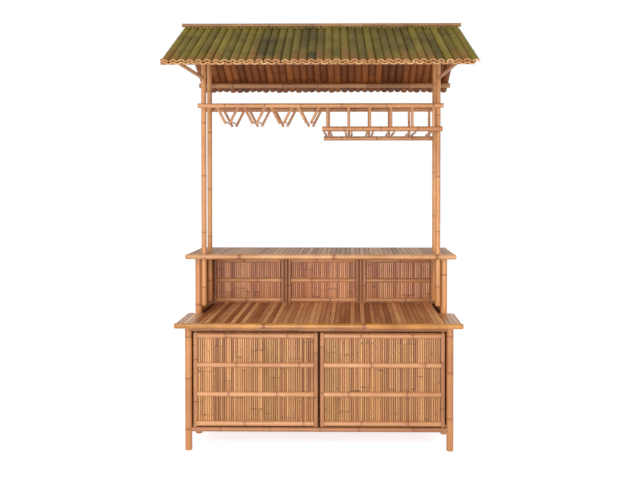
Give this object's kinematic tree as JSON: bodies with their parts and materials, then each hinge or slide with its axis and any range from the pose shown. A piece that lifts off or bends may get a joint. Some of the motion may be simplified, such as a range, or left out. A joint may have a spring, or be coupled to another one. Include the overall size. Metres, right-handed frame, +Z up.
{
  "type": "bamboo tiki bar",
  "caption": "Free-standing bamboo bar with two counter levels, slatted panels and doors, four posts, a hanging glass and bottle rack and a two-slope roof of split culms.",
  "frame": {"origin": "on the ground, at the middle of the stand, under the roof ridge", "axes": "+Z up, +Y from the work counter side toward the guests' side at the rear, +X to the right seen from the work counter side"},
  "size_m": [1.6564, 1.086, 2.43],
  "materials": {
    "pole_bamboo": "lacquered bamboo poles with node rings, satin",
    "rail_bamboo": "lacquered bamboo rails, satin",
    "slat_bamboo": "split bamboo slats with varnish, satin",
    "counter_bamboo": "split bamboo strips under gloss varnish",
    "trim_bamboo": "half culm edging, gloss varnish",
    "rack_bamboo": "thin lacquered bamboo poles, satin",
    "roof_pole_bamboo": "bamboo roof poles, satin",
    "roof_culms": "half culms, green turning brown toward the eaves, satin"
  },
  "bodies": {
    "root": {"front_left_leg": "pole_bamboo", "front_right_leg": "pole_bamboo", "middle_left_leg": "pole_bamboo", "middle_right_leg": "pole_bamboo", "rear_left_leg": "pole_bamboo", "rear_right_leg": "pole_bamboo", "front_rails": "rail_bamboo", "rear_rails": "rail_bamboo", "left_side_rails": "rail_bamboo", "right_side_rails": "rail_bamboo", "rear_left_panel": "slat_bamboo", "rear_right_panel": "slat_bamboo", "upper_left_panel": "slat_bamboo", "upper_middle_panel": "slat_bamboo", "upper_right_panel": "slat_bamboo", "upper_mullions": "rail_bamboo", "left_side_panels": "slat_bamboo", "right_side_panels": "slat_bamboo", "cabinet_shelf": "slat_bamboo", "work_counter_top": "counter_bamboo", "work_counter_trim": "trim_bamboo", "bar_counter_top": "counter_bamboo", "bar_counter_trim": "trim_bamboo", "front_left_roof_post": "pole_bamboo", "front_right_roof_post": "pole_bamboo", "rear_left_roof_post": "pole_bamboo", "rear_right_roof_post": "pole_bamboo", "rack_front_rail": "rack_bamboo", "rack_rear_rail": "rack_bamboo", "glass_hanger_1": "rack_bamboo", "glass_hanger_2": "rack_bamboo", "glass_hanger_3": "rack_bamboo", "glass_hanger_4": "rack_bamboo", "bottle_rack_front": "rack_bamboo", "bottle_rack_rear": "rack_bamboo", "bottle_rack_rods": "rack_bamboo", "front_plate": "roof_pole_bamboo", "rear_plate": "roof_pole_bamboo", "front_purlin": "roof_pole_bamboo", "rear_purlin": "roof_pole_bamboo", "roof_arms": "roof_pole_bamboo", "front_roof": "roof_culms", "rear_roof": "roof_culms", "ridge_pole": "roof_pole_bamboo"},
    "left_door": {"front_left_door": "slat_bamboo"},
    "right_door": {"front_right_door": "slat_bamboo"}
  },
  "joints": [
    {"name": "left_door_hinge", "type": "hinge", "parent": "root", "child": "left_door", "pos_m": [-0.685, -0.284, 0.392], "axis": [0, 0, -1], "range_deg": [0, 80]},
    {"name": "right_door_hinge", "type": "hinge", "parent": "root", "child": "right_door", "pos_m": [0.685, -0.284, 0.392], "axis": [0, 0, 1], "range_deg": [0, 80]}
  ]
}
